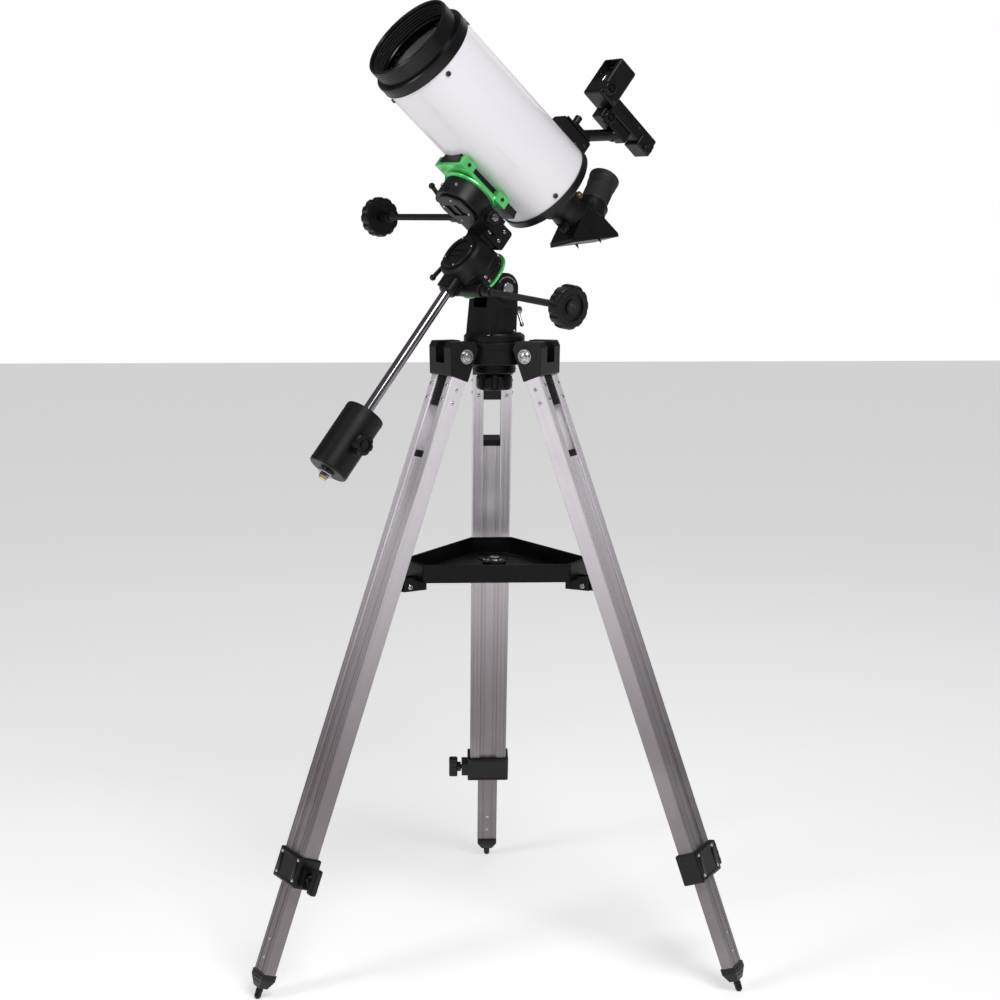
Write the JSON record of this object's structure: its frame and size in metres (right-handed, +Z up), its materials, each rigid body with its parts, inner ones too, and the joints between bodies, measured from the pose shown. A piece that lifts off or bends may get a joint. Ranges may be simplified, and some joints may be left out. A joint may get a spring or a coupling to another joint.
{
  "type": "telescope on tripod",
  "caption": "Small closed-tube reflecting telescope on an equatorial mount with slow-motion knobs, on an aluminium field tripod with a tray.",
  "frame": {"origin": "middle of the whole object's base: the centre of its bounding box, on the ground", "axes": "+Z up; the rear leg of the tripod points along +Y; the tube points to -X, -Y and up"},
  "size_m": [0.567, 0.5105, 1.1209],
  "materials": {
    "cast_black": "satin black powder coat",
    "black_plastic": "moulded black",
    "leg_aluminium": "satin anodised",
    "steel": "bright",
    "chrome_bar": "polished",
    "brass_wheel": "machined",
    "green_anodised": "green anodised",
    "white_paint": "pearl white gloss",
    "black_paint": "satin black",
    "optical_glass": "coated",
    "mirror": "aluminised"
  },
  "bodies": {
    "root": {"head_casting": "cast_black", "pivot_bolts": "steel"},
    "head_lock": {"head_knob": "black_plastic"},
    "leg_1": {"leg_castings_1": "cast_black", "leg_rails_1": "leg_aluminium"},
    "lower_leg_1": {"inner_leg_1": "leg_aluminium", "leg_ends_1": "black_plastic"},
    "clamp_screw_1": {"clamp_knob_1": "black_plastic"},
    "leg_2": {"leg_castings_2": "cast_black", "leg_rails_2": "leg_aluminium"},
    "lower_leg_2": {"inner_leg_2": "leg_aluminium", "leg_ends_2": "black_plastic"},
    "clamp_screw_2": {"clamp_knob_2": "black_plastic"},
    "leg_3": {"leg_castings_3": "cast_black", "leg_rails_3": "leg_aluminium"},
    "lower_leg_3": {"inner_leg_3": "leg_aluminium", "leg_ends_3": "black_plastic"},
    "clamp_screw_3": {"clamp_knob_3": "black_plastic"},
    "tray": {"tray": "black_plastic"},
    "mount_base": {"azimuth_column": "cast_black"},
    "tilt_lock": {"tilt_lock": "steel"},
    "t_bolt": {"t_bolt": "steel"},
    "polar_base": {"tilt_bracket": "cast_black", "ra_housing": "cast_black"},
    "ra_circle": {"ra_circle": "green_anodised"},
    "polar_head": {"polar_shaft": "steel", "ra_wheel": "brass_wheel", "ra_head": "cast_black", "link_bracket": "cast_black", "counterweight_bar": "chrome_bar", "dec_housing": "cast_black"},
    "ra_worm": {"ra_worm": "steel"},
    "ra_knob": {"ra_knob": "black_plastic"},
    "ra_lock_lever": {"ra_lock_lever": "black_plastic"},
    "counterweight": {"counterweight": "cast_black"},
    "counterweight_knob": {"counterweight_knob": "black_plastic"},
    "dec_circle": {"dec_circle": "green_anodised"},
    "saddle": {"dec_shaft": "steel", "dec_wheel": "brass_wheel", "saddle": "green_anodised"},
    "dec_slow_motion": {"dec_worm": "steel", "dec_knob": "black_plastic"},
    "dec_lock_lever": {"dec_lock_lever": "black_plastic"},
    "saddle_knob": {"saddle_knob": "black_plastic"},
    "optical_tube": {"dovetail_bar": "black_paint", "tube": "white_paint", "front_cell": "black_paint", "corrector_lens": "optical_glass", "rear_cell": "black_paint", "visual_back": "black_plastic", "finder_bracket": "black_plastic", "red_dot_finder": "black_plastic", "finder_window": "optical_glass"},
    "focus_knob": {"focus_knob": "black_plastic"},
    "primary_mirror": {"primary_mirror": "mirror"},
    "diagonal": {"diagonal": "black_plastic"},
    "eyepiece": {"eyepiece": "black_plastic"},
    "finder_adjuster_1": {"finder_adjuster_1": "black_plastic"},
    "finder_adjuster_2": {"finder_adjuster_2": "black_plastic"}
  },
  "joints": [
    {"name": "head_lock_turn", "type": "hinge", "parent": "root", "child": "head_lock", "pos_m": [0, -0.06749, 0.67806], "axis": [0, 0, 1], "continuous": true},
    {"name": "leg_fold_1", "type": "hinge", "parent": "root", "child": "leg_1", "pos_m": [0, -0.01483, 0.72306], "axis": [-1, 0, 0], "range_deg": [0, 8]},
    {"name": "leg_slide_1", "type": "slide", "parent": "leg_1", "child": "lower_leg_1", "axis": [0, 0.3469, -0.9379], "range_m": [-0.05, 0.4]},
    {"name": "clamp_screw_1_turn", "type": "hinge", "parent": "leg_1", "child": "clamp_screw_1", "pos_m": [-0.0354, 0.19992, 0.14251], "axis": [-1, 0, 0], "continuous": true},
    {"name": "leg_fold_2", "type": "hinge", "parent": "root", "child": "leg_2", "pos_m": [-0.0456, -0.09381, 0.72306], "axis": [0.5, -0.866, 0], "range_deg": [0, 8]},
    {"name": "leg_slide_2", "type": "slide", "parent": "leg_2", "child": "lower_leg_2", "axis": [-0.3005, -0.1735, -0.9379], "range_m": [-0.05, 0.4]},
    {"name": "clamp_screw_2_turn", "type": "hinge", "parent": "leg_2", "child": "clamp_screw_2", "pos_m": [-0.21388, -0.23184, 0.14251], "axis": [0.5, -0.866, 0], "continuous": true},
    {"name": "leg_fold_3", "type": "hinge", "parent": "root", "child": "leg_3", "pos_m": [0.0456, -0.09381, 0.72306], "axis": [0.5, 0.866, 0], "range_deg": [0, 8]},
    {"name": "leg_slide_3", "type": "slide", "parent": "leg_3", "child": "lower_leg_3", "axis": [0.3005, -0.1735, -0.9379], "range_m": [-0.05, 0.4]},
    {"name": "clamp_screw_3_turn", "type": "hinge", "parent": "leg_3", "child": "clamp_screw_3", "pos_m": [0.24928, -0.17053, 0.14251], "axis": [0.5, 0.866, 0], "continuous": true},
    {"name": "tray_drop", "type": "slide", "parent": "root", "child": "tray", "axis": [0, 0, -1], "range_m": [0, 0.14]},
    {"name": "azimuth", "type": "hinge", "parent": "root", "child": "mount_base", "pos_m": [0, -0.06749, 0.73806], "axis": [0, 0, 1], "continuous": true},
    {"name": "tilt_lock_turn", "type": "hinge", "parent": "mount_base", "child": "tilt_lock", "pos_m": [0, -0.06749, 0.79996], "axis": [0.5592, -0.829, 0], "range_deg": [-60, 0]},
    {"name": "latitude", "type": "hinge", "parent": "mount_base", "child": "polar_base", "pos_m": [0, -0.06749, 0.79996], "axis": [0.5592, -0.829, 0], "range_deg": [-15, 15]},
    {"name": "t_bolt_feed", "type": "slide", "parent": "mount_base", "child": "t_bolt", "axis": [0.829, 0.5592, 0], "range_m": [-0.008, 0.008]},
    {"name": "ra_circle_turn", "type": "hinge", "parent": "polar_base", "child": "ra_circle", "pos_m": [-0.01251, -0.07592, 0.81262], "axis": [-0.6351, -0.4284, 0.6428], "continuous": true},
    {"name": "ra_axis", "type": "hinge", "parent": "polar_base", "child": "polar_head", "pos_m": [-0.02521, -0.08449, 0.82548], "axis": [-0.6351, -0.4284, 0.6428], "range_deg": [-68, 90]},
    {"name": "ra_worm_turn", "type": "hinge", "parent": "polar_base", "child": "ra_worm", "pos_m": [-0.03486, -0.091, 0.7987], "axis": [0.5592, -0.829, 0], "range_deg": [-3264, 4320]},
    {"name": "ra_knob_turn", "type": "hinge", "parent": "polar_base", "child": "ra_knob", "pos_m": [0.07416, -0.23579, 0.78596], "axis": [0.6102, -0.7872, -0.0888], "range_deg": [-3264, 4320]},
    {"name": "ra_lock_turn", "type": "hinge", "parent": "polar_head", "child": "ra_lock_lever", "pos_m": [-0.05406, -0.06776, 0.82726], "axis": [0.5592, -0.829, 0], "range_deg": [-40, 0]},
    {"name": "counterweight_slide", "type": "slide", "parent": "polar_head", "child": "counterweight", "axis": [0.5329, 0.3594, 0.766], "range_m": [0, 0.13]},
    {"name": "counterweight_knob_turn", "type": "hinge", "parent": "counterweight", "child": "counterweight_knob", "pos_m": [-0.15215, -0.2063, 0.63414], "axis": [0.5592, -0.829, 0], "continuous": true},
    {"name": "dec_circle_turn", "type": "hinge", "parent": "polar_head", "child": "dec_circle", "pos_m": [-0.0301, -0.08779, 0.90915], "axis": [0.5329, 0.3594, 0.766], "continuous": true},
    {"name": "dec_axis", "type": "hinge", "parent": "polar_head", "child": "saddle", "pos_m": [-0.03026, -0.0879, 0.90892], "axis": [0.5329, 0.3594, 0.766], "continuous": true},
    {"name": "dec_slow_motion_turn", "type": "hinge", "parent": "polar_head", "child": "dec_slow_motion", "pos_m": [-0.01914, -0.0804, 0.88134], "axis": [-0.5592, 0.829, 0], "continuous": true},
    {"name": "dec_lock_turn", "type": "hinge", "parent": "polar_head", "child": "dec_lock_lever", "pos_m": [-0.05942, -0.07138, 0.90356], "axis": [0.5592, -0.829, 0], "range_deg": [0, 60]},
    {"name": "saddle_knob_turn", "type": "hinge", "parent": "saddle", "child": "saddle_knob", "pos_m": [-0.04191, -0.05957, 0.92096], "axis": [-0.5592, 0.829, 0], "continuous": true},
    {"name": "tube_slide", "type": "slide", "parent": "saddle", "child": "optical_tube", "axis": [-0.6351, -0.4284, 0.6428], "range_m": [-0.02, 0.02]},
    {"name": "focus_turn", "type": "hinge", "parent": "optical_tube", "child": "focus_knob", "pos_m": [0.03636, -0.00677, 0.89891], "axis": [-0.6351, -0.4284, 0.6428], "range_deg": [-1080, 1080]},
    {"name": "mirror_focus", "type": "slide", "parent": "optical_tube", "child": "primary_mirror", "axis": [-0.6351, -0.4284, 0.6428], "range_m": [-0.006, 0.006]},
    {"name": "diagonal_turn", "type": "hinge", "parent": "optical_tube", "child": "diagonal", "pos_m": [0.09574, -0.00291, 0.8819], "axis": [-0.6351, -0.4284, 0.6428], "range_deg": [-90, 90]},
    {"name": "eyepiece_slide", "type": "slide", "parent": "diagonal", "child": "eyepiece", "axis": [0.3818, 0.5493, 0.7433], "range_m": [0, 0.03]},
    {"name": "finder_adjuster_1_turn", "type": "hinge", "parent": "optical_tube", "child": "finder_adjuster_1", "pos_m": [0.1368, 0.00428, 1.03272], "axis": [0.5592, -0.829, 0], "continuous": true},
    {"name": "finder_adjuster_2_turn", "type": "hinge", "parent": "optical_tube", "child": "finder_adjuster_2", "pos_m": [0.14158, 0.00751, 0.99916], "axis": [0.5592, -0.829, 0], "continuous": true}
  ],
  "couplings": [
    {"joint": "t_bolt_feed", "follows": "latitude", "m_per_rad": 0.027},
    {"joint": "ra_worm_turn", "follows": "ra_axis", "ratio": 48},
    {"joint": "ra_knob_turn", "follows": "ra_axis", "ratio": 48},
    {"joint": "dec_slow_motion_turn", "follows": "dec_axis", "ratio": 48},
    {"joint": "focus_turn", "follows": "mirror_focus", "rad_per_m": 3141.6},
    {"joint": "leg_fold_2", "follows": "leg_fold_1", "ratio": 1},
    {"joint": "leg_fold_3", "follows": "leg_fold_1", "ratio": 1},
    {"joint": "tray_drop", "follows": "leg_fold_1", "m_per_rad": 0.974}
  ]
}
